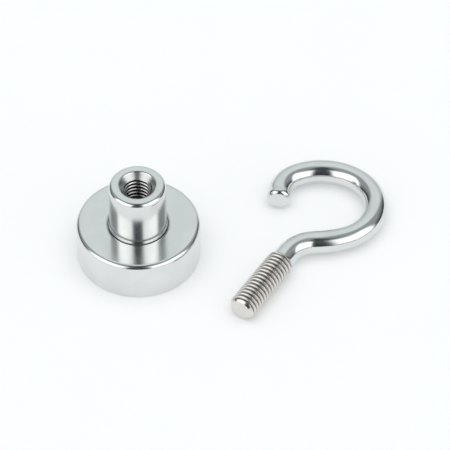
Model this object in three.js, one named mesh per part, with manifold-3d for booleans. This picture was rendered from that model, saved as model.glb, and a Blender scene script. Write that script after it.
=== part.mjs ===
// Magnet fishing magnet: a potted disc magnet with a threaded neck, and the loose hook that screws into it.
// Millimetres, +Z up. The origin is the middle of the magnet's working face, and the neck stands on +Z.
import * as THREE from 'three';
import { mergeVertices } from 'three/addons/utils/BufferGeometryUtils.js';
import Module from 'manifold-3d';

const wasm = await Module();
wasm.setup();

// Steel pot
const potDiameter = 48;
const potHeight = 17;
const shoulderRadius = 1.9;
const rimBreak = 0.5;
const recessDiameter = 41.4;
const recessDepth = 8.5;

// Disc magnet, the glue film behind it and the resin around it
const magnetDiameter = 37;
const magnetEdgeBreak = 0.4;
const filmThickness = 0.3;
const resinSink = 0.2;

// Threaded neck, seated in the pot's top and swaged over inside it
const neckDiameter = 22.2;
const neckTop = 38;
const neckEdgeRadius = 1.9;
const neckFootFlare = 0.4;
const neckFootRise = 0.7;
const neckFootSink = 0.2;
const seatDepth = 3;
const seatLipRadius = 1.2;
const spigotDiameter = 16;
const swageFlare = 1.6;
const boreFloor = 2.6;
const mouthDiameter = 16;
const mouthLipRadius = 1.6;

// 7/16-14 thread, shared by the neck and the hook
const threadDiameter = 10.8;
const threadPitch = 1.814;
const threadDepth = 0.95;
const crestShare = 0.15;
const rootShare = 0.2;
const threadLength = 30;
const tipChamfer = 1.2;
const wireBite = 1.2;

// Hook, bent from round wire: the straight shank, then each bend in turn, a left bend positive
const wireDiameter = 9;
const shankLength = 33.7;
const bends = [
  { radius: 14, degrees: -56.5 },
  { radius: 38, degrees: 18 },
  { radius: 18, degrees: 123 },
  { radius: 23, degrees: 64 },
  { radius: 11.5, degrees: 58 },
];
const knobDiameter = 9.6;
const knobLength = 4.5;
const knobEdgeRadius = 1.7;

// Where the hook lies on the floor: the middle of its thread's end face, and its shank's heading in degrees
const hookTip = { x: 39.5, y: -35.1 };
const hookHeading = 57.9;

// Clearances
const bondGap = 0.05;
const fitGap = 0.3;
const neckGap = 0.5;
const threadGap = 0.25;
const floorGap = 0.02;

// Facets
const roundSegments = 60;
const threadSegments = 20;
const wireSides = 20;
const wireStep = 2;
const filletSteps = 4;
const past = 1;

const finishes = {
  polishedNickel: { color: 0xc9cdcd, roughness: 0.16, metalness: 1 },
  magnetNickel: { color: 0xb4b4b0, roughness: 0.3, metalness: 1 },
  blackResin: { color: 0x1d1e20, roughness: 0.6, metalness: 0 },
  clearGlue: { color: 0xb9b08c, roughness: 0.45, metalness: 0 },
};

const group = new THREE.Group();

// A point of a turned outline: radius, then height.
function at(radius, height) {
  return new THREE.Vector2(radius, height);
}

// A round corner of a turned outline about (radius, height), from one angle to another in degrees.
function corner(radius, height, size, from, to) {
  const points = [];
  for (let step = 0; step <= filletSteps; step += 1) {
    const angle = THREE.MathUtils.degToRad(from + ((to - from) * step) / filletSteps);
    points.push(at(radius + size * Math.cos(angle), height + size * Math.sin(angle)));
  }
  return points;
}

// Keeps only the places, joins the shared ones and drops the triangles that this closes up.
function welded(source) {
  const bare = source.clone();
  bare.deleteAttribute('normal');
  bare.deleteAttribute('uv');
  const joined = mergeVertices(bare, 1e-4);
  const index = joined.index.array;
  const kept = [];
  for (let start = 0; start < index.length; start += 3) {
    const [a, b, c] = index.slice(start, start + 3);
    if (a !== b && b !== c && a !== c) kept.push(a, b, c);
  }
  joined.setIndex(kept);
  return joined;
}

// A turned solid about +Z. Its outline runs with the material on its left.
function turned(outline, segments = roundSegments) {
  const lathe = new THREE.LatheGeometry(outline, segments);
  lathe.rotateX(Math.PI / 2);
  return welded(lathe);
}

function solidOf(source) {
  const { position } = source.attributes;
  const mesh = new wasm.Mesh({
    numProp: 3,
    vertProperties: new Float32Array(position.array),
    triVerts: new Uint32Array(source.index.array),
  });
  return new wasm.Manifold(mesh);
}

function geometryOf(solid) {
  const mesh = solid.getMesh();
  const geometry = new THREE.BufferGeometry();
  geometry.setAttribute('position', new THREE.BufferAttribute(mesh.vertProperties, 3));
  geometry.setIndex(new THREE.BufferAttribute(mesh.triVerts, 1));
  return geometry;
}

function addPiece(name, geometry, finish, parent = group) {
  geometry.computeVertexNormals();
  const mesh = new THREE.Mesh(geometry, new THREE.MeshStandardMaterial(finish));
  mesh.name = name;
  parent.add(mesh);
}

// A right-hand threaded rod about +Z, from low to high. `limit` gives its greatest radius at each height.
// It is a turned rod whose rows, four to a pitch, are slid along the axis by one pitch in each turn.
function threadedRod(crestRadius, low, high, limit) {
  const rootRadius = crestRadius - threadDepth;
  const crestEdge = (threadPitch * crestShare) / 2;
  const rootEdge = (threadPitch * (1 - rootShare)) / 2;
  const rowOffsets = [-rootEdge, -crestEdge, crestEdge, rootEdge];

  function threadRadius(height, turn) {
    const along = height - turn * threadPitch;
    const phase = Math.abs(along - threadPitch * Math.round(along / threadPitch));
    const fall = THREE.MathUtils.clamp((phase - crestEdge) / (rootEdge - crestEdge), 0, 1);
    return Math.min(crestRadius - threadDepth * fall, limit(height));
  }

  const firstPitch = Math.floor(low / threadPitch) - 1;
  const lastPitch = Math.ceil(high / threadPitch) + 1;
  const outline = [at(0, low)];
  for (let pitch = firstPitch; pitch <= lastPitch; pitch += 1) {
    for (const offset of rowOffsets) outline.push(at(rootRadius, pitch * threadPitch + offset));
  }
  outline.push(at(0, high));

  const lathe = new THREE.LatheGeometry(outline, threadSegments);
  lathe.rotateX(Math.PI / 2);
  const { position } = lathe.attributes;
  const rows = outline.length;
  for (let vertex = 0; vertex < position.count; vertex += 1) {
    const row = vertex % rows;
    if (row === 0 || row === rows - 1) continue;
    const turn = Math.floor(vertex / rows) / threadSegments;
    const height = THREE.MathUtils.clamp(outline[row].y + turn * threadPitch, low, high);
    const radius = threadRadius(height, turn);
    const angle = turn * 2 * Math.PI;
    position.setXYZ(vertex, radius * Math.cos(angle), radius * Math.sin(angle), height);
  }
  return welded(lathe);
}

// Pot: a turned steel cup, open below for the magnet, with a seat and a hole in its top for the neck.
function potGeometry() {
  const radius = potDiameter / 2;
  const recess = recessDiameter / 2;
  const seat = neckDiameter / 2 + neckGap;
  const hole = spigotDiameter / 2 + fitGap;
  return turned([
    at(recess, 0),
    ...corner(radius - rimBreak, rimBreak, rimBreak, -90, 0),
    ...corner(radius - shoulderRadius, potHeight - shoulderRadius, shoulderRadius, 0, 90),
    ...corner(seat + seatLipRadius, potHeight - seatLipRadius, seatLipRadius, 90, 180),
    at(seat, potHeight - seatDepth),
    at(hole, potHeight - seatDepth),
    at(hole, recessDepth + swageFlare),
    at(hole + swageFlare, recessDepth),
    at(recess, recessDepth),
    at(recess, 0),
  ]);
}

// Neck: a turned bush, tapped from the top, whose spigot is flared over inside the pot.
function neckGeometry() {
  const radius = neckDiameter / 2;
  const foot = radius + neckFootFlare;
  const spigot = spigotDiameter / 2;
  const seat = potHeight - seatDepth + bondGap;
  const mouth = mouthDiameter / 2;
  const blank = turned([
    at(0, recessDepth),
    at(spigot + swageFlare, recessDepth),
    at(spigot, recessDepth + swageFlare),
    at(spigot, seat),
    at(foot, seat),
    at(foot, potHeight - neckFootSink),
    at(radius, potHeight + neckFootRise),
    ...corner(radius - neckEdgeRadius, neckTop - neckEdgeRadius, neckEdgeRadius, 0, 90),
    at(0, neckTop),
  ]);
  const lip = corner(mouth, neckTop - mouthLipRadius, mouthLipRadius, 135, 90);
  const funnelDepth = lip[0].y - lip[0].x;
  const funnel = turned([
    at(0, funnelDepth),
    ...lip,
    at(mouth, neckTop + past),
    at(0, neckTop + past),
  ]);
  const tap = threadedRod(
    threadDiameter / 2 + threadGap,
    recessDepth + boreFloor,
    neckTop + past,
    () => Infinity,
  );
  return geometryOf(solidOf(blank).subtract(solidOf(tap)).subtract(solidOf(funnel)));
}

// The middle line of the hook's wire, in the plane of +Z along the shank and +X to its left.
class HookLine extends THREE.Curve {
  constructor(from) {
    super();
    this.stretches = [{ length: shankLength - from, turn: 0, radius: Infinity }];
    for (const { radius, degrees } of bends) {
      const turn = THREE.MathUtils.degToRad(degrees);
      this.stretches.push({ length: radius * Math.abs(turn), turn, radius });
    }
    this.stretches.push({ length: knobLength, turn: 0, radius: Infinity });
    this.from = from;
    this.total = this.stretches.reduce((sum, stretch) => sum + stretch.length, 0);
  }

  // Place and heading at a distance along the line.
  trace(distance) {
    let left = distance;
    let heading = 0;
    let x = 0;
    let z = this.from;
    for (const { length, turn, radius } of this.stretches) {
      const share = Math.min(left, length) / length;
      if (turn === 0) {
        x += share * length * Math.sin(heading);
        z += share * length * Math.cos(heading);
      } else {
        const side = Math.sign(turn) * radius;
        const next = heading + share * turn;
        x += side * (Math.cos(heading) - Math.cos(next));
        z += side * (Math.sin(next) - Math.sin(heading));
        heading = next;
      }
      left -= length;
      if (left <= 0) break;
    }
    return { x, z, heading };
  }

  getPoint(share, target = new THREE.Vector3()) {
    const { x, z } = this.trace(share * this.total);
    return target.set(x, 0, z);
  }
}

// Hook: round wire with a rolled thread on its shank and an upset knob on its free end.
function hookGeometry() {
  const wire = wireDiameter / 2;
  const crest = threadDiameter / 2;
  const shank = threadedRod(crest, 0, threadLength, (height) => {
    const tip = crest - tipChamfer + height;
    const runOut = wire - past + (threadLength - height) * past;
    return Math.min(tip, runOut);
  });

  const line = new HookLine(threadLength - wireBite);
  const section = new THREE.Shape();
  for (let side = 0; side < wireSides; side += 1) {
    const angle = (side / wireSides) * 2 * Math.PI;
    if (side === 0) section.moveTo(wire, 0);
    else section.lineTo(wire * Math.cos(angle), wire * Math.sin(angle));
  }
  const steps = Math.round(line.total / wireStep);
  const bent = welded(new THREE.ExtrudeGeometry(section, { steps, bevelEnabled: false, extrudePath: line }));

  const knobRadius = knobDiameter / 2;
  const knob = turned([
    at(0, -past),
    at(wire - fitGap / 2, -past),
    at(wire, 0),
    at((wire + knobRadius) / 2, (knobLength - knobEdgeRadius) / 2),
    ...corner(knobRadius - knobEdgeRadius, knobLength - knobEdgeRadius, knobEdgeRadius, 0, 90),
    at(0, knobLength),
  ], wireSides);
  const end = line.trace(line.total - knobLength);
  knob.rotateY(end.heading);
  knob.translate(end.x, 0, end.z);

  return geometryOf(solidOf(shank).add(solidOf(bent)).add(solidOf(knob)));
}

// Disc magnet with broken edges, face down and flush with the pot's rim.
function magnetGeometry() {
  const radius = magnetDiameter / 2;
  const thickness = recessDepth - filmThickness - 2 * bondGap;
  return turned([
    at(0, 0),
    at(radius - magnetEdgeBreak, 0),
    at(radius, magnetEdgeBreak),
    at(radius, thickness - magnetEdgeBreak),
    at(radius - magnetEdgeBreak, thickness),
    at(0, thickness),
  ]);
}

// Glue film between the back of the magnet and the pot.
function filmGeometry() {
  const radius = magnetDiameter / 2 - magnetEdgeBreak;
  const top = recessDepth - bondGap;
  return turned([
    at(0, top - filmThickness),
    at(radius, top - filmThickness),
    at(radius, top),
    at(0, top),
  ]);
}

// Resin ring that fills the gap between the magnet's side and the pot's wall.
function resinGeometry() {
  const inner = magnetDiameter / 2 + bondGap;
  const outer = recessDiameter / 2 - bondGap;
  const top = recessDepth - bondGap;
  return turned([
    at(inner, resinSink),
    at(outer, resinSink),
    at(outer, top),
    at(inner, top),
    at(inner, resinSink),
  ]);
}

addPiece('pot', potGeometry(), finishes.polishedNickel);
addPiece('threaded_neck', neckGeometry(), finishes.polishedNickel);
addPiece('magnet_disc', magnetGeometry(), finishes.magnetNickel);
addPiece('glue_film', filmGeometry(), finishes.clearGlue);
addPiece('resin_ring', resinGeometry(), finishes.blackResin);

// The hook lies flat: its shank, local +Z, runs along the heading, and its left side, local +X, stays level.
const heading = THREE.MathUtils.degToRad(hookHeading);
const along = new THREE.Vector3(Math.cos(heading), Math.sin(heading), 0);
const upward = new THREE.Vector3(0, 0, 1);
const leftward = new THREE.Vector3().crossVectors(upward, along);
const lying = new THREE.Group();
lying.quaternion.setFromRotationMatrix(new THREE.Matrix4().makeBasis(leftward, upward, along));
lying.position.set(hookTip.x, hookTip.y, Math.max(threadDiameter, wireDiameter) / 2 + floorGap);
group.add(lying);
addPiece('hook', hookGeometry(), finishes.polishedNickel, lying);

export default group;
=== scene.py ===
import math

import bmesh
import bpy
import numpy as np
from mathutils import Matrix, Vector


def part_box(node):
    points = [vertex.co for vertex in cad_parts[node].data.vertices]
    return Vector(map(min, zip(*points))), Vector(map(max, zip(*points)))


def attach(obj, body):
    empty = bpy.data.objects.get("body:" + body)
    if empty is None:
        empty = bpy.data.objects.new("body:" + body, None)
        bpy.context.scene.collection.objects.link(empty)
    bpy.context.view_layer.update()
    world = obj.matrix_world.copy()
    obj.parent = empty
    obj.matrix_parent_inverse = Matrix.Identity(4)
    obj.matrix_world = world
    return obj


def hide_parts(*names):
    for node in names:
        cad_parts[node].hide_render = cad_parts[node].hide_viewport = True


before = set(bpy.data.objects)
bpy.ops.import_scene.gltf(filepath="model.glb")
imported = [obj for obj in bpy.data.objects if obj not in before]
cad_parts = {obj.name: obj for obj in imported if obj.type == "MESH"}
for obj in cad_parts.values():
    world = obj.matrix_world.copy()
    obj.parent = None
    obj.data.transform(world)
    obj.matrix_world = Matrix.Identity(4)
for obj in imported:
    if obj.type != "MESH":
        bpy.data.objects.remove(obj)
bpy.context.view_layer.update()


# Pot: the steel cup that holds the magnet and leads its pull round to the rim.
# It is turned from mild steel, polished and nickel plated. A counterbore in its top, with a rounded lip,
# takes the neck, and a recess from below takes the disc.
MM = 0.001
POT_LOW, POT_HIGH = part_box("pot")
POT_RADIUS = (POT_HIGH.x - POT_LOW.x) / 2
POT_HEIGHT = POT_HIGH.z
NECK_LOW, NECK_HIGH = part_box("threaded_neck")
NECK_FOOT_RADIUS = (NECK_HIGH.x - NECK_LOW.x) / 2
NECK_FOOT_FLARE = 0.4 * MM
NECK_RADIUS = NECK_FOOT_RADIUS - NECK_FOOT_FLARE
SHOULDER_RADIUS = 1.9 * MM
RIM_RADIUS = 0.5 * MM
RECESS_RADIUS = 20.7 * MM
RECESS_DEPTH = 8.5 * MM
SEAT_GAP = 0.1 * MM
SEAT_DEPTH = 3 * MM
SEAT_LIP_RADIUS = 1.2 * MM
SEAT_RADIUS = NECK_FOOT_RADIUS + SEAT_GAP
HOLE_RADIUS = 8.3 * MM
FLARE = 1.6 * MM
CORNER_STEPS = 14
EDGE_STEPS = 6
FLAT_MARGIN = 0.06 * MM
LONG_RUN = 6 * FLAT_MARGIN
ROUND_COLUMNS = 240
WELD_DISTANCE = 1e-7
CREASE = math.radians(50)


def arc(radius, height, size, start, end, steps=CORNER_STEPS):
    """Points of a round corner of a turned outline, from one angle in degrees to another."""
    angles = np.radians(np.linspace(start, end, steps + 1))
    return [(radius + size * math.cos(a), height + size * math.sin(a)) for a in angles]


def held(outline):
    """Adds a point just inside each end of a long straight run, so that it stays flat when shaded smooth."""
    points = [outline[0]]
    for (r0, z0), (r1, z1) in zip(outline, outline[1:]):
        length = math.hypot(r1 - r0, z1 - z0)
        if length > LONG_RUN:
            share = FLAT_MARGIN / length
            points.append((r0 + (r1 - r0) * share, z0 + (z1 - z0) * share))
            points.append((r1 - (r1 - r0) * share, z1 - (z1 - z0) * share))
        points.append((r1, z1))
    return points


def rings(outline, columns=ROUND_COLUMNS):
    """One closed ring of places for each outline point: an array of rows, columns and x, y, z."""
    turn = np.linspace(0, 2 * math.pi, columns + 1)
    radius = np.array([r for r, _ in outline])[:, None]
    height = np.array([z for _, z in outline])[:, None]
    return np.stack([radius * np.cos(turn), radius * np.sin(turn), height + 0 * turn], axis=-1)


def skin(name, grid):
    """A closed mesh object over a grid of places, whose first and last columns meet."""
    rows, columns = grid.shape[:2]
    quads = [
        (r * columns + c, r * columns + c + 1, (r + 1) * columns + c + 1, (r + 1) * columns + c)
        for r in range(rows - 1)
        for c in range(columns - 1)
    ]
    mesh = bpy.data.meshes.new(name)
    mesh.from_pydata(grid.reshape(-1, 3).tolist(), [], quads)
    work = bmesh.new()
    work.from_mesh(mesh)
    bmesh.ops.remove_doubles(work, verts=work.verts, dist=WELD_DISTANCE)
    bmesh.ops.recalc_face_normals(work, faces=work.faces)
    work.to_mesh(mesh)
    work.free()
    mesh.shade_smooth()
    mesh.set_sharp_from_angle(angle=CREASE)
    piece = bpy.data.objects.new(name, mesh)
    bpy.context.scene.collection.objects.link(piece)
    return piece


class Link:
    """A node's output that takes part in Python expressions. Each operation adds its Math node."""

    MIX_FACTOR, MIX_BELOW, MIX_ABOVE, MIX_RESULT = 0, 6, 7, 2

    def __init__(self, tree, socket):
        self.tree = tree
        self.socket = socket

    def node(self, kind, settings=None, inputs=None, output=0):
        """Adds a node, sets its settings and then its inputs, and gives one of its outputs."""
        node = self.tree.nodes.new(kind)
        for name, value in (settings or {}).items():
            setattr(node, name, value)
        for name, value in (inputs or {}).items():
            if isinstance(value, Link):
                self.tree.links.new(value.socket, node.inputs[name])
            else:
                node.inputs[name].default_value = value
        return Link(self.tree, node.outputs[output])

    def math(self, operation, *others):
        """A Math node on this value and the others."""
        values = dict(enumerate((self, *others)))
        return self.node("ShaderNodeMath", {"operation": operation}, values)

    def __add__(self, other):
        return self.math("ADD", other)

    def __radd__(self, other):
        return self.math("ADD", other)

    def __sub__(self, other):
        return self.math("SUBTRACT", other)

    def __rsub__(self, other):
        return self.node("ShaderNodeMath", {"operation": "SUBTRACT"}, {0: other, 1: self})

    def __mul__(self, other):
        return self.math("MULTIPLY", other)

    def __rmul__(self, other):
        return self.math("MULTIPLY", other)

    def rise(self, low, high):
        """0 below low, 1 above high, and a smooth rise between them."""
        limits = {"Value": self, "From Min": low, "From Max": high}
        return self.node("ShaderNodeMapRange", {"interpolation_type": "SMOOTHSTEP"}, limits)

    def blend(self, below, above):
        """The colour below where this value is 0, and above where it is 1."""
        sockets = {self.MIX_FACTOR: self, self.MIX_BELOW: below, self.MIX_ABOVE: above}
        return self.node("ShaderNodeMix", {"data_type": "RGBA"}, sockets, self.MIX_RESULT)

    def noise(self, scale, detail, stretch=(1, 1, 1)):
        """A noise value over a place, finer with a larger scale, and drawn out where stretch is small."""
        place = self.node("ShaderNodeVectorMath", {"operation": "MULTIPLY"}, {0: self, 1: stretch})
        return place.node("ShaderNodeTexNoise", {}, {"Vector": place, "Scale": scale, "Detail": detail})


def finish(name):
    """A new material, with the place on the piece that its nodes start from."""
    material = bpy.data.materials.new(name)
    material.use_nodes = True
    tree = material.node_tree
    place = Link(tree, tree.nodes.new("ShaderNodeTexCoord").outputs["Object"])
    return material, place


def surface(material, fixed, varying, height=None, depth=0.0):
    """Fills in the material's shader: fixed numbers, linked values, and a bump of a real depth."""
    shader = material.node_tree.nodes["Principled BSDF"]
    for name, value in fixed.items():
        shader.inputs[name].default_value = value
    for name, value in varying.items():
        material.node_tree.links.new(value.socket, shader.inputs[name])
    if height is not None:
        settings = {"Strength": 1.0, "Distance": depth, "Height": height}
        bump = height.node("ShaderNodeBump", {}, settings)
        material.node_tree.links.new(bump.socket, shader.inputs["Normal"])


def around(place):
    """Distance from the piece's own Z axis, and height along it."""
    split = place.node("ShaderNodeSeparateXYZ", {}, {"Vector": place})
    height = Link(place.tree, split.socket.node.outputs["Z"])
    flat = place.node("ShaderNodeVectorMath", {"operation": "MULTIPLY"}, {0: place, 1: (1, 1, 0)})
    radius = place.node("ShaderNodeVectorMath", {"operation": "LENGTH"}, {0: flat}, "Value")
    return radius, height


NICKEL_BRIGHT = (0.77, 0.78, 0.77, 1)
NICKEL_DULL = (0.72, 0.735, 0.73, 1)
POT_ROUGHNESS = 0.17
LEAST_ROUGHNESS = 0.03
TURNING_PITCH = 0.12 * MM
TURNING_DEPTH = 0.0006 * MM
CLOUD_SCALE = 90
CLOUD_EDGES = (0.3, 0.7)
WIPE_SCALE = 700
WIPE_STRETCH = (1, 0.12, 1)
HAIRLINE_SCALE = 2600
HAIRLINE_STRETCH = (0.04, 1, 1)
HAIRLINE_EDGES = (0.66, 0.74)
SATIN_SPREAD = 0.05
HAIRLINE_SATIN = 0.04
HAIRLINE_CUT = 0.2


def turned_nickel(name, roughness, dull=NICKEL_DULL, bright=NICKEL_BRIGHT):
    """Nickel plate over fine turning marks, with faint clouds of wiping and a few hairline scratches."""
    material, place = finish(name)
    radius, height = around(place)
    across = radius.node("ShaderNodeCombineXYZ", {}, {"X": radius, "Y": height})
    marks = across.noise(1 / TURNING_PITCH, detail=3.0)
    clouds = place.noise(CLOUD_SCALE, detail=4.0)
    wipes = place.noise(WIPE_SCALE, detail=3.0, stretch=WIPE_STRETCH)
    hairlines = place.noise(HAIRLINE_SCALE, detail=1.0, stretch=HAIRLINE_STRETCH).rise(*HAIRLINE_EDGES)
    colour = clouds.rise(*CLOUD_EDGES).blend(dull, bright)
    dullness = roughness + HAIRLINE_SATIN * hairlines
    for marking in (clouds, wipes, marks):
        dullness = dullness + SATIN_SPREAD * (marking - 0.5)
    surface(
        material,
        {"Metallic": 1.0},
        {"Base Color": colour, "Roughness": dullness.math("MAXIMUM", LEAST_ROUGHNESS)},
        marks - HAIRLINE_CUT * hairlines,
        TURNING_DEPTH,
    )
    return material


pot_outline = [
    (RECESS_RADIUS, 0),
    *arc(POT_RADIUS - RIM_RADIUS, RIM_RADIUS, RIM_RADIUS, -90, 0, EDGE_STEPS),
    *arc(POT_RADIUS - SHOULDER_RADIUS, POT_HEIGHT - SHOULDER_RADIUS, SHOULDER_RADIUS, 0, 90),
    *arc(SEAT_RADIUS + SEAT_LIP_RADIUS, POT_HEIGHT - SEAT_LIP_RADIUS, SEAT_LIP_RADIUS, 90, 180),
    (SEAT_RADIUS, POT_HEIGHT - SEAT_DEPTH),
    (HOLE_RADIUS, POT_HEIGHT - SEAT_DEPTH),
    (HOLE_RADIUS, RECESS_DEPTH + FLARE),
    (HOLE_RADIUS + FLARE, RECESS_DEPTH),
    (RECESS_RADIUS, RECESS_DEPTH),
    (RECESS_RADIUS, 0),
]
pot = skin("pot_shell", rings(held(pot_outline)))
pot.data.materials.append(turned_nickel("pot_nickel", POT_ROUGHNESS))
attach(pot, "magnet")
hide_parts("pot")


# Neck: a turned steel bush with a 7/16-14 thread tapped down it from a countersunk mouth.
# Its spigot goes through the pot's top and is flared over inside, under the magnet's glue.
# It is plated with the pot. Its thread carries painted shade, darkest in its grooves and deeper down the
# bore.
NECK_TOP = NECK_HIGH.z
NECK_EDGE_RADIUS = 1.9 * MM
NECK_FOOT_RISE = 0.7 * MM
NECK_FOOT_SINK = 0.1 * MM
SEAT_BOND = 0.05 * MM
SPIGOT_RADIUS = 8 * MM
BORE_FLOOR = 2.6 * MM
MOUTH_RADIUS = 8 * MM
MOUTH_LIP_RADIUS = 1.6 * MM
THREAD_PITCH = 1.814 * MM
THREAD_DEPTH = 0.95 * MM
THREAD_RADIUS = 5.4 * MM
TAP_GAP = 0.25 * MM
CREST_SHARE = 0.16
ROOT_SHARE = 0.14
FLANK_ROUNDING = 0.55
ROWS_PER_PITCH = 16


def thread_depth(height, turn):
    """How far a right-hand thread lies below its crest at a height and a share of a turn, from 0 to 1."""
    phase = height / THREAD_PITCH - turn
    off_crest = np.abs(phase - np.round(phase)) * 2
    fall = np.clip((off_crest - CREST_SHARE) / (1 - CREST_SHARE - ROOT_SHARE), 0, 1)
    rounded = fall * fall * (3 - 2 * fall)
    return fall + FLANK_ROUNDING * (rounded - fall)


def thread_rows(low, high, radius_at, columns=ROUND_COLUMNS):
    """Rows of a thread from low to high. Each row climbs one pitch in a turn, and stops at the ends."""
    first = math.floor(low / THREAD_PITCH) - 1
    last = math.ceil(high / THREAD_PITCH) + 1
    steps = np.arange((last - first) * ROWS_PER_PITCH + 1) / ROWS_PER_PITCH
    turn = np.linspace(0, 1, columns + 1)
    height = np.clip((first + steps[:, None] + turn) * THREAD_PITCH, low, high)
    radius = radius_at(height, turn)
    angle = 2 * math.pi * turn
    return np.stack([radius * np.cos(angle), radius * np.sin(angle), height], axis=-1)


bore_low = RECESS_DEPTH + BORE_FLOOR
mouth_lip = arc(MOUTH_RADIUS, NECK_TOP - MOUTH_LIP_RADIUS, MOUTH_LIP_RADIUS, 135, 90)
sink_start = mouth_lip[0][1] - mouth_lip[0][0]


def bore_radius(height, turn):
    """The tapped hole, opened by the countersink at its mouth."""
    tapped = THREAD_RADIUS + TAP_GAP - THREAD_DEPTH * thread_depth(height, turn)
    return np.maximum(tapped, height - sink_start)


neck_outside = [
    *mouth_lip[1:],
    *arc(NECK_RADIUS - NECK_EDGE_RADIUS, NECK_TOP - NECK_EDGE_RADIUS, NECK_EDGE_RADIUS, 90, 0),
    (NECK_RADIUS, POT_HEIGHT + NECK_FOOT_RISE),
    (NECK_RADIUS + NECK_FOOT_FLARE / 2, POT_HEIGHT + NECK_FOOT_SINK),
    (NECK_FOOT_RADIUS, POT_HEIGHT - NECK_FOOT_SINK),
    (NECK_FOOT_RADIUS, POT_HEIGHT - SEAT_DEPTH + SEAT_BOND),
    (SPIGOT_RADIUS, POT_HEIGHT - SEAT_DEPTH + SEAT_BOND),
    (SPIGOT_RADIUS, RECESS_DEPTH + FLARE),
    (SPIGOT_RADIUS + FLARE, RECESS_DEPTH),
    (0, RECESS_DEPTH),
]
neck_grid = np.concatenate(
    [
        rings([(0, bore_low)]),
        thread_rows(bore_low, mouth_lip[0][1], bore_radius),
        rings(held(neck_outside)),
    ]
)
neck = skin("neck_bush", neck_grid)

# Painted shade: the countersink's nickel colours are darker than the rest of the plating.
SINK_SHADED_BRIGHT = (0.56, 0.57, 0.56, 1)
SINK_SHADED_DULL = (0.48, 0.49, 0.485, 1)
BORE_METAL = (0.88, 0.87, 0.85, 1)
# Painted shade: the colour that the thread's grooves and the deep part of the bore are darkened towards.
BORE_SHADE_DARK = (0.04, 0.034, 0.03, 1)
BORE_SHADE = 17 * MM
BORE_DEEP_SHADE = 0.6
BORE_GROOVE_SHADE = 0.8
BORE_CLOUD_SHADE = 0.4
BORE_ROUGHNESS = 0.16
BORE_GRAIN_SATIN = 0.1
BORE_ROOT_RADIUS = THREAD_RADIUS + TAP_GAP
BORE_UNSHADED_RADIUS = BORE_ROOT_RADIUS - 0.9 * THREAD_DEPTH
BORE_SHADED_RADIUS = BORE_ROOT_RADIUS - 0.35 * THREAD_DEPTH
BORE_GRAIN_SCALE = 2200
BORE_GRAIN_STRETCH = (1, 1, 3)
BORE_GRAIN_DEPTH = 0.006 * MM
BORE_CLOUD_SCALE = 260
NECK_ROUGHNESS = 0.18
SINK_ROUGHNESS = 0.3
bore_nickel, place = finish("neck_bore_nickel")
bore_distance, bore_height = around(place)
# Painted shade: darker in the thread's grooves, unevenly so, and darker with depth below the mouth.
bore_groove = bore_distance.rise(BORE_UNSHADED_RADIUS, BORE_SHADED_RADIUS)
bore_grain = place.noise(BORE_GRAIN_SCALE, detail=3.0, stretch=BORE_GRAIN_STRETCH)
bore_clouds = place.noise(BORE_CLOUD_SCALE, detail=3.0)
bore_depth = 1 - bore_height.rise(NECK_TOP - BORE_SHADE, NECK_TOP)
bore_groove_shade = bore_groove * (BORE_GROOVE_SHADE + BORE_CLOUD_SHADE * bore_clouds)
bore_painted_shade = bore_groove_shade.math("MAXIMUM", bore_depth * BORE_DEEP_SHADE)
bore_colour = bore_painted_shade.blend(BORE_METAL, BORE_SHADE_DARK)
surface(
    bore_nickel,
    {"Metallic": 1.0},
    {"Base Color": bore_colour, "Roughness": BORE_ROUGHNESS + BORE_GRAIN_SATIN * bore_grain},
    bore_grain,
    BORE_GRAIN_DEPTH,
)
neck.data.materials.append(turned_nickel("neck_nickel", NECK_ROUGHNESS))
neck.data.materials.append(bore_nickel)
# The countersink is the same turned nickel, rougher, and darkened as painted shade.
neck.data.materials.append(turned_nickel("countersink_shaded_nickel", SINK_ROUGHNESS, SINK_SHADED_DULL, SINK_SHADED_BRIGHT))
CONE_TOLERANCE = 0.02 * MM
sink_foot = sink_start + BORE_ROOT_RADIUS
sink_top = mouth_lip[0][1]
for face in neck.data.polygons:
    spot = face.center
    distance = math.hypot(spot.x, spot.y)
    threaded = bore_low <= spot.z < sink_foot and distance < BORE_ROOT_RADIUS + TAP_GAP
    on_cone = abs(distance - (spot.z - sink_start)) < CONE_TOLERANCE
    if on_cone and spot.z < sink_top:
        face.material_index = 2
    elif threaded:
        face.material_index = 1
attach(neck, "magnet")
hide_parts("threaded_neck")


# Magnet disc: sintered neodymium, ground flat and nickel plated, with broken edges.
# It sits face down in the pot's recess, flush with the rim.
DISC_LOW, DISC_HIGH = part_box("magnet_disc")
DISC_RADIUS = (DISC_HIGH.x - DISC_LOW.x) / 2
DISC_EDGE_RADIUS = 0.4 * MM
DISC_EDGE_STEPS = 8
DISC_COLUMNS = 180
disc_flat = DISC_RADIUS - DISC_EDGE_RADIUS
disc_outline = [
    (0, DISC_LOW.z),
    *arc(disc_flat, DISC_LOW.z + DISC_EDGE_RADIUS, DISC_EDGE_RADIUS, -90, 0, DISC_EDGE_STEPS),
    *arc(disc_flat, DISC_HIGH.z - DISC_EDGE_RADIUS, DISC_EDGE_RADIUS, 0, 90, DISC_EDGE_STEPS),
    (0, DISC_HIGH.z),
]
disc = skin("magnet_disc_plated", rings(held(disc_outline), DISC_COLUMNS))

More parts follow.
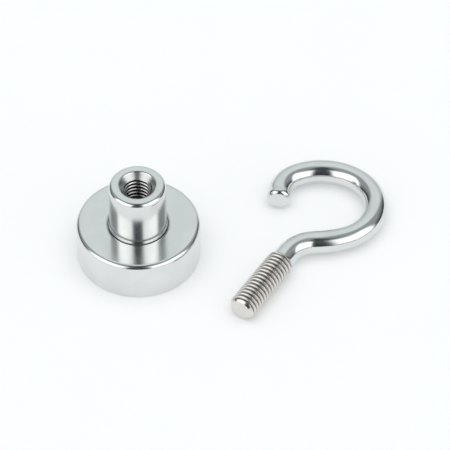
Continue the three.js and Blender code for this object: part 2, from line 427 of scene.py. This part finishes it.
DISC_BRIGHT = (0.66, 0.66, 0.635, 1)
DISC_DULL = (0.52, 0.52, 0.50, 1)
DISC_ROUGHNESS = 0.22
DISC_GRAIN_SCALE = 1500
DISC_GRAIN_DEPTH = 0.004 * MM
DISC_GRAIN_SATIN = 0.16
DISC_CLOUD_SCALE = 120
DISC_SCRATCH_SCALE = 1800
DISC_SCRATCH_STRETCH = (0.03, 1, 1)
DISC_SCRATCH_EDGES = (0.64, 0.7)
DISC_SCRATCH_SATIN = 0.1
DISC_SCRATCH_CUT = 0.4
disc_nickel, place = finish("magnet_nickel")
disc_grain = place.noise(DISC_GRAIN_SCALE, detail=4.0)
disc_clouds = place.noise(DISC_CLOUD_SCALE, detail=3.0)
disc_lines = place.noise(DISC_SCRATCH_SCALE, detail=1.0, stretch=DISC_SCRATCH_STRETCH)
disc_scratches = disc_lines.rise(*DISC_SCRATCH_EDGES)
disc_satin = DISC_GRAIN_SATIN * disc_grain + DISC_SCRATCH_SATIN * disc_scratches
surface(
    disc_nickel,
    {"Metallic": 1.0},
    {
        "Base Color": disc_clouds.rise(*CLOUD_EDGES).blend(DISC_DULL, DISC_BRIGHT),
        "Roughness": DISC_ROUGHNESS + disc_satin,
    },
    disc_grain - DISC_SCRATCH_CUT * disc_scratches,
    DISC_GRAIN_DEPTH,
)
disc.data.materials.append(disc_nickel)
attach(disc, "magnet")
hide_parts("magnet_disc")


# Glue film: cured epoxy, pressed out thin between the magnet's back and the pot.
# It is out of sight once the magnet is in, so it keeps its plain disc shape.
GLUE_PALE = (0.62, 0.58, 0.42, 1)
GLUE_DARK = (0.46, 0.41, 0.27, 1)
GLUE_SWIRL_SCALE = 160
GLUE_SWIRL_DEPTH = 0.03 * MM
GLUE_ROUGHNESS = 0.3
GLUE_SATIN = 0.25
GLUE_SATIN_SCALE = 500
GLUE_IOR = 1.55
glue, place = finish("cured_epoxy")
glue_swirl = place.noise(GLUE_SWIRL_SCALE, detail=4.0)
surface(
    glue,
    {"Metallic": 0.0, "IOR": GLUE_IOR},
    {
        "Base Color": glue_swirl.blend(GLUE_DARK, GLUE_PALE),
        "Roughness": GLUE_ROUGHNESS + GLUE_SATIN * place.noise(GLUE_SATIN_SCALE, detail=2.0),
    },
    glue_swirl,
    GLUE_SWIRL_DEPTH,
)
glue_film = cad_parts["glue_film"]
glue_film.data.materials.clear()
glue_film.data.materials.append(glue)


# Resin ring: black casting resin poured between the disc and the pot's wall.
# It has set a little below the rim, drawn up where it wets the metal on both sides.
RESIN_LOW, RESIN_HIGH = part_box("resin_ring")
RESIN_OUTER = (RESIN_HIGH.x - RESIN_LOW.x) / 2
RESIN_GAP = 0.05 * MM
RESIN_INNER = DISC_RADIUS + RESIN_GAP
RESIN_SAG = 0.28 * MM
RESIN_SAG_FULLNESS = 0.6
RESIN_RIPPLE = 0.05 * MM
RESIN_STEPS = 16
RIPPLE_MEAN = 0.5
RIPPLE_SWING = 0.25
RIPPLES = ((3, 0.7, 1.0), (7, 2.1, 0.6), (13, 0.0, 0.4))
resin_width = RESIN_OUTER - RESIN_INNER
meniscus = [
    (
        RESIN_INNER + resin_width * share,
        RESIN_LOW.z + RESIN_SAG * math.sin(math.pi * share) ** RESIN_SAG_FULLNESS,
    )
    for share in np.linspace(0, 1, RESIN_STEPS + 1)
]
resin_outline = [*meniscus, (RESIN_OUTER, RESIN_HIGH.z), (RESIN_INNER, RESIN_HIGH.z), meniscus[0]]
resin_grid = rings(resin_outline)
resin_turn = np.linspace(0, 2 * math.pi, ROUND_COLUMNS + 1)
ripple = sum(share * np.sin(waves * resin_turn + start) for waves, start, share in RIPPLES)
resin_grid[1:RESIN_STEPS, :, 2] += RESIN_RIPPLE * (RIPPLE_MEAN + RIPPLE_SWING * ripple)
resin = skin("resin_pour", resin_grid)

RESIN_BLACK = (0.012, 0.012, 0.013, 1)
RESIN_GREY = (0.035, 0.035, 0.038, 1)
RESIN_FLOW_SCALE = 220
RESIN_FLOW_DEPTH = 0.03 * MM
RESIN_PIT_SCALE = 1400
RESIN_PIT_EDGES = (0.7, 0.78)
RESIN_PIT_CUT = 0.8
RESIN_ROUGHNESS = 0.28
RESIN_SATIN = 0.3
RESIN_IOR = 1.5
black_resin, place = finish("black_resin")
resin_flow = place.noise(RESIN_FLOW_SCALE, detail=4.0)
resin_pits = place.noise(RESIN_PIT_SCALE, detail=1.0).rise(*RESIN_PIT_EDGES)
surface(
    black_resin,
    {"Metallic": 0.0, "IOR": RESIN_IOR},
    {
        "Base Color": resin_flow.blend(RESIN_BLACK, RESIN_GREY),
        "Roughness": RESIN_ROUGHNESS + RESIN_SATIN * resin_flow,
    },
    resin_flow - RESIN_PIT_CUT * resin_pits,
    RESIN_FLOW_DEPTH,
)
resin.data.materials.append(black_resin)
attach(resin, "magnet")
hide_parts("resin_ring")


# Hook: one length of steel wire with the same thread rolled on its shank, bent into a question mark.
# Its free end is upset into a low knob with a flat face. It is plated after bending,
# which leaves the wire bright and the rolled thread satin. The thread's roots carry painted shade.
HOOK_LOW, HOOK_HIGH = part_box("hook")
WIRE_RADIUS = 4.5 * MM
SHANK_LENGTH = 33.7 * MM
THREAD_LENGTH = 30 * MM
TIP_CHAMFER = 1.2 * MM
TIP_EDGE_RADIUS = 0.25 * MM
RUN_OUT = 1.2 * MM
BENDS = ((14, -56.5), (38, 18), (18, 123), (23, 64), (11.5, 58))
BEND_EASE = 3 * MM
KNOB_RADIUS = 4.8 * MM
KNOB_LENGTH = 4.5 * MM
KNOB_EDGE_RADIUS = 1.7 * MM
KNOB_FLARE = 2.6 * MM
KNOB_STEPS = 13
KNOB_EDGE_STEPS = 16
KNOB_FACE_MARGIN = 0.1 * MM
HOOK_HEADING = math.radians(57.9)
LINE_STEP = 0.1 * MM
WIRE_STEP = 0.6 * MM
WIRE_COLUMNS = 144


def summed(rate):
    """What a rate adds up to along the wire's middle line, at each of its points."""
    return np.concatenate([[0], np.cumsum(rate[1:] + rate[:-1]) * LINE_STEP / 2])


stretches = [(SHANK_LENGTH, 0.0)]
for bend_radius, bend_degrees in BENDS:
    bend_turn = math.radians(bend_degrees)
    bend_length = bend_radius * MM * abs(bend_turn)
    stretches.append((bend_length, bend_turn / bend_length))
stretches.append((KNOB_LENGTH, 0.0))
line_length = sum(length for length, _ in stretches)
line_at = np.arange(0, line_length + LINE_STEP / 2, LINE_STEP)
ends = np.cumsum([length for length, _ in stretches])
curvature = np.array([rate for _, rate in stretches])[
    np.minimum(np.searchsorted(ends, line_at), len(stretches) - 1)
]
ease = np.hanning(int(BEND_EASE / LINE_STEP) | 1)
curvature = np.convolve(np.pad(curvature, len(ease) // 2, mode="edge"), ease / ease.sum(), "valid")
line_heading = summed(curvature)
line_left = summed(np.sin(line_heading))
line_along = summed(np.cos(line_heading))


def shank_radius(height, turn):
    """The rolled thread, chamfered at the tip and running out into the plain wire."""
    rolled = THREAD_RADIUS - THREAD_DEPTH * thread_depth(height, turn)
    rolled = np.minimum(rolled, THREAD_RADIUS - TIP_CHAMFER + height)
    left = np.clip((THREAD_LENGTH - height) / RUN_OUT, 0, 1)
    return WIRE_RADIUS + left * (rolled - WIRE_RADIUS)


knob_start = line_length - KNOB_LENGTH
rim_start = line_length - KNOB_EDGE_RADIUS
wire_stations = [
    (distance, WIRE_RADIUS) for distance in np.arange(THREAD_LENGTH + WIRE_STEP, knob_start, WIRE_STEP)
]
for share in np.linspace(0, 1, KNOB_STEPS + 1)[1:]:
    swell = share * share * (3 - 2 * share)
    wire_stations.append(
        (rim_start - KNOB_FLARE * (1 - share), WIRE_RADIUS + (KNOB_RADIUS - WIRE_RADIUS) * swell)
    )
face_radius = KNOB_RADIUS - KNOB_EDGE_RADIUS
knob_rim = arc(face_radius, rim_start, KNOB_EDGE_RADIUS, 0, 90, KNOB_EDGE_STEPS)
wire_stations += [(distance, radius) for radius, distance in knob_rim[1:]]
wire_stations += [(line_length, face_radius - KNOB_FACE_MARGIN), (line_length, 0.0)]
wire_turn = np.linspace(0, 2 * math.pi, WIRE_COLUMNS + 1)
wire_rows = []
for distance, radius in sorted(wire_stations, key=lambda station: (station[0], -station[1])):
    heading = np.interp(distance, line_at, line_heading)
    middle_left = np.interp(distance, line_at, line_left)
    middle_along = np.interp(distance, line_at, line_along)
    aside = radius * np.cos(wire_turn)
    wire_rows.append(
        np.stack(
            [
                middle_left + aside * math.cos(heading),
                radius * np.sin(wire_turn),
                middle_along - aside * math.sin(heading),
            ],
            axis=-1,
        )
    )
hook_grid = np.concatenate(
    [
        rings([(0, 0), (THREAD_RADIUS - TIP_CHAMFER - TIP_EDGE_RADIUS, 0)], WIRE_COLUMNS),
        thread_rows(0, THREAD_LENGTH, shank_radius, WIRE_COLUMNS),
        np.array(wire_rows),
    ]
)
hook = skin("hook_wire", hook_grid)

along = Vector((math.cos(HOOK_HEADING), math.sin(HOOK_HEADING), 0))
upward = Vector((0, 0, 1))
lying = Matrix((upward.cross(along), upward, along)).transposed().to_4x4()
corners = [lying @ vertex.co for vertex in hook.data.vertices]
lowest = Vector([min(corner[axis] for corner in corners) for axis in range(3)])
highest = Vector([max(corner[axis] for corner in corners) for axis in range(3)])
facet_fit = min((HOOK_HIGH - HOOK_LOW)[axis] / (highest - lowest)[axis] for axis in range(3))
tip_place = (HOOK_LOW + HOOK_HIGH - (lowest + highest) * facet_fit) / 2
placement = Matrix.Translation(tip_place) @ lying @ Matrix.Scale(facet_fit, 4)


def on_wire(place):
    """Turns a place on the lying hook back to the upright wire, whose threaded tip is at 0."""
    laid = {
        "Vector": place,
        "Location": placement.translation,
        "Rotation": placement.to_euler(),
        "Scale": placement.to_scale(),
    }
    return place.node("ShaderNodeMapping", {"vector_type": "TEXTURE"}, laid)


WIRE_ROUGHNESS = 0.10
WIRE_CLOUD_SCALE = 110
WIRE_DRAWN_SCALE = 1600
WIRE_DRAWN_STRETCH = (1, 1, 0.15)
WIRE_HAIRLINE_SCALE = 2400
WIRE_HAIRLINE_STRETCH = (0.05, 1, 0.4)
WIRE_HAIRLINE_CUT = 0.3
wire_nickel, place = finish("hook_nickel")
place = on_wire(place)
wire_clouds = place.noise(WIRE_CLOUD_SCALE, detail=4.0)
wire_drawn = place.noise(WIRE_DRAWN_SCALE, detail=3.0, stretch=WIRE_DRAWN_STRETCH)
wire_lines = place.noise(WIRE_HAIRLINE_SCALE, detail=1.0, stretch=WIRE_HAIRLINE_STRETCH)
wire_hairlines = wire_lines.rise(*HAIRLINE_EDGES)
wire_satin = SATIN_SPREAD * (wire_clouds + wire_drawn) + HAIRLINE_SATIN * wire_hairlines
surface(
    wire_nickel,
    {"Metallic": 1.0},
    {
        "Base Color": wire_clouds.rise(*CLOUD_EDGES).blend(NICKEL_DULL, NICKEL_BRIGHT),
        "Roughness": WIRE_ROUGHNESS + wire_satin,
    },
    wire_drawn - WIRE_HAIRLINE_CUT * wire_hairlines,
    TURNING_DEPTH,
)

ROLLED_CREST = (0.74, 0.72, 0.69, 1)
# Painted shade: the colour that the rolled thread's roots are darkened towards.
ROLLED_ROOT_SHADE = (0.13, 0.10, 0.08, 1)
ROLLED_CREST_BAND = 0.25 * MM
TIP_UNSHADED = (0.4 * MM, 1.4 * MM)
ROLLED_ROOT_SHADING = 0.55
ROLLED_CLOUD_SHADING = 0.7
ROLLED_CLOUD_CUT = 0.5
ROLLED_ROUGHNESS = 0.15
ROLLED_GRAIN_SATIN = 0.12
ROLLED_ROOT_SATIN = 0.15
ROLLED_GRAIN_SCALE = 1500
ROLLED_GRAIN_DEPTH = 0.012 * MM
ROLLED_CLOUD_SCALE = 300
rolled_nickel, place = finish("hook_thread_nickel")
place = on_wire(place)
shank_distance, shank_height = around(place)
# Painted shade: darker in the thread's roots, unevenly so, and not at the chamfered tip.
rolled_depth = 1 - shank_distance.rise(THREAD_RADIUS - THREAD_DEPTH, THREAD_RADIUS - ROLLED_CREST_BAND)
on_thread = shank_height.rise(*TIP_UNSHADED)
rolled_grain = place.noise(ROLLED_GRAIN_SCALE, detail=4.0)
rolled_clouds = place.noise(ROLLED_CLOUD_SCALE, detail=3.0)
rolled_root_shade = rolled_depth * on_thread * (ROLLED_ROOT_SHADING + ROLLED_CLOUD_SHADING * rolled_clouds)
rolled_satin = ROLLED_GRAIN_SATIN * rolled_grain + ROLLED_ROOT_SATIN * rolled_root_shade
surface(
    rolled_nickel,
    {"Metallic": 1.0},
    {
        "Base Color": rolled_root_shade.blend(ROLLED_CREST, ROLLED_ROOT_SHADE),
        "Roughness": ROLLED_ROUGHNESS + rolled_satin,
    },
    rolled_grain + ROLLED_CLOUD_CUT * rolled_clouds,
    ROLLED_GRAIN_DEPTH,
)
hook.data.materials.append(wire_nickel)
hook.data.materials.append(rolled_nickel)
rolled_end = THREAD_LENGTH - 0.3 * RUN_OUT
for face in hook.data.polygons:
    if face.center.z < rolled_end and abs(face.center.x) < 2 * WIRE_RADIUS:
        face.material_index = 1
hook.data.transform(placement)
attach(hook, "hook")
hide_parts("hook")


# Floor: a matt white sheet that the magnet and the hook lie on, with its far edge out of view.
# It glows a little, like a lit table. It is clear from below and under the magnet, whose face shows there.
FLOOR_RADIUS = 2.5
FLOOR_DROP = 0.02 * MM
FLOOR_WHITE = (0.655, 0.66, 0.66, 1)
FLOOR_SHADE = (0.645, 0.65, 0.65, 1)
FLOOR_GLOW = (0.275, 0.28, 0.285, 1)
FLOOR_SEGMENTS = 96
FLOOR_CLOUD_SCALE = 30
FLOOR_GRAIN_SCALE = 900
FLOOR_GRAIN_DEPTH = 0.004 * MM
FLOOR_ROUGHNESS = 0.75
FLOOR_GRAIN_SATIN = 0.15
FLOOR_SHINE = 0.2
floor_work = bmesh.new()
bmesh.ops.create_circle(floor_work, cap_ends=True, segments=FLOOR_SEGMENTS, radius=FLOOR_RADIUS)
floor_mesh = bpy.data.meshes.new("floor")
floor_work.to_mesh(floor_mesh)
floor_work.free()
floor = bpy.data.objects.new("floor", floor_mesh)
bpy.context.scene.collection.objects.link(floor)
floor.location.z = -FLOOR_DROP
floor_white, place = finish("white_floor")
floor_grain = place.noise(FLOOR_GRAIN_SCALE, detail=3.0)
floor_distance, _ = around(place)
floor_shown = floor_distance.rise(POT_RADIUS - 2 * RIM_RADIUS, POT_RADIUS - RIM_RADIUS)
floor_back = Link(place.tree, place.tree.nodes.new("ShaderNodeNewGeometry").outputs["Backfacing"])
surface(
    floor_white,
    {
        "Metallic": 0.0,
        "Specular IOR Level": FLOOR_SHINE,
        "Emission Color": FLOOR_GLOW,
        "Emission Strength": 1.0,
    },
    {
        "Base Color": place.noise(FLOOR_CLOUD_SCALE, detail=2.0).blend(FLOOR_SHADE, FLOOR_WHITE),
        "Roughness": FLOOR_ROUGHNESS + FLOOR_GRAIN_SATIN * floor_grain,
        "Alpha": (1 - floor_back) * floor_shown,
    },
    floor_grain,
    FLOOR_GRAIN_DEPTH,
)
floor.data.materials.append(floor_white)


# Studio: two tall soft lights on the viewer's side with a gap between them, and dark flags beyond them.
# A pale wall stands behind, and a wide light overhead brightens the floor without showing in the metal.
SOFT_LIGHT = 1.42
LIGHT_TINT = (1.0, 1.0, 0.99)
PALE_WALL = (0.80, 0.85, 0.855, 1)
PALE_LOW = (0.52, 0.575, 0.585, 1)
FLAG_LOW = (0.012, 0.015, 0.02, 1)
FLAG_HIGH = (0.33, 0.36, 0.37, 1)
FLAG_GAP = (0.045, 0.055, 0.065, 1)
BACKDROP = (0.955, 0.98, 0.985, 1)
FILL = (0.53, 0.545, 0.55, 1)
TOP_LIGHT = 1.57
TOP_LIGHT_SPREAD = math.radians(75)
TOP_LIGHT_TILT = math.radians(8)
LIGHT_INNER_EDGE = np.radians((15, 26))
LIGHT_OUTER_EDGE = np.radians((80, 94))
LIGHT_TOP_EDGE = np.radians((48, 65))
LIGHT_FOOT_EDGE = np.radians((2, 7))
FLAG_SIDE_EDGE = np.radians((18, 60))
FLAG_RISE = np.radians((0, 40))
WALL_RISE = np.radians((-5, 45))
WALL_NARROWING = 1.1
WALL_EDGE = (-0.16, 0.22)
world = bpy.data.worlds.new("studio")
world.use_nodes = True
bpy.context.scene.world = world
studio = world.node_tree
studio.nodes.clear()
bearing = Link(studio, studio.nodes.new("ShaderNodeTexCoord").outputs["Generated"])
split = bearing.node("ShaderNodeSeparateXYZ", {}, {"Vector": bearing})
aside, away, height = (Link(studio, split.socket.node.outputs[axis]) for axis in "XYZ")
azimuth = aside.math("ABSOLUTE").math("ARCTAN2", away * -1)
elevation = height.math("ARCSINE")
inner = azimuth.rise(*LIGHT_INNER_EDGE)
outer = 1 - azimuth.rise(*LIGHT_OUTER_EDGE)
top = 1 - elevation.rise(*LIGHT_TOP_EDGE)
foot = elevation.rise(*LIGHT_FOOT_EDGE)
soft_lights = inner * outer * top * foot
pale = (away - WALL_NARROWING * aside.math("ABSOLUTE")).rise(*WALL_EDGE)
beside = azimuth.rise(*FLAG_SIDE_EDGE).blend(FLAG_GAP, FLAG_HIGH)
flags = elevation.rise(*FLAG_RISE).blend(FLAG_LOW, beside)
wall = elevation.rise(*WALL_RISE).blend(PALE_LOW, PALE_WALL)
room = pale.blend(flags, wall)
lit = room.node(
    "ShaderNodeVectorMath", {"operation": "SCALE"}, {0: LIGHT_TINT, "Scale": soft_lights * SOFT_LIGHT}
)
glow = room.node("ShaderNodeVectorMath", {"operation": "ADD"}, {0: room, 1: lit})
ray = studio.nodes.new("ShaderNodeLightPath").outputs
filled = Link(studio, ray["Is Diffuse Ray"]).blend(glow, FILL)
seen = Link(studio, ray["Is Camera Ray"]).blend(filled, BACKDROP)
background = seen.node("ShaderNodeBackground", {}, {"Color": seen, "Strength": 1.0})
world_output = studio.nodes.new("ShaderNodeOutputWorld")
studio.links.new(background.socket, world_output.inputs["Surface"])
top_light_data = bpy.data.lights.new("top_light", "SUN")
top_light_data.energy = TOP_LIGHT
top_light_data.angle = TOP_LIGHT_SPREAD
top_light = bpy.data.objects.new("top_light", top_light_data)
top_light.rotation_euler = (TOP_LIGHT_TILT, 0, 0)
top_light.visible_glossy = False
bpy.context.scene.collection.objects.link(top_light)


# Camera: a long lens on a stand, well back from the table.
# It looks straight across it and down over the magnet and the hook.
VIEW_PITCH = math.radians(47.3)
CAMERA_PLACE = (0.0336, -1.0774, 1.1829)
LENS_MM = 328.5
SENSOR_MM = 36
NEAREST = 0.1
FARTHEST = 20
camera_data = bpy.data.cameras.new("camera")
camera_data.lens = LENS_MM
camera_data.sensor_width = SENSOR_MM
camera_data.clip_start = NEAREST
camera_data.clip_end = FARTHEST
camera = bpy.data.objects.new("camera", camera_data)
camera.location = CAMERA_PLACE
camera.rotation_euler = (math.pi / 2 - VIEW_PITCH, 0, 0)
bpy.context.scene.collection.objects.link(camera)
bpy.context.scene.camera = camera
bpy.context.scene.view_settings.view_transform = "Standard"
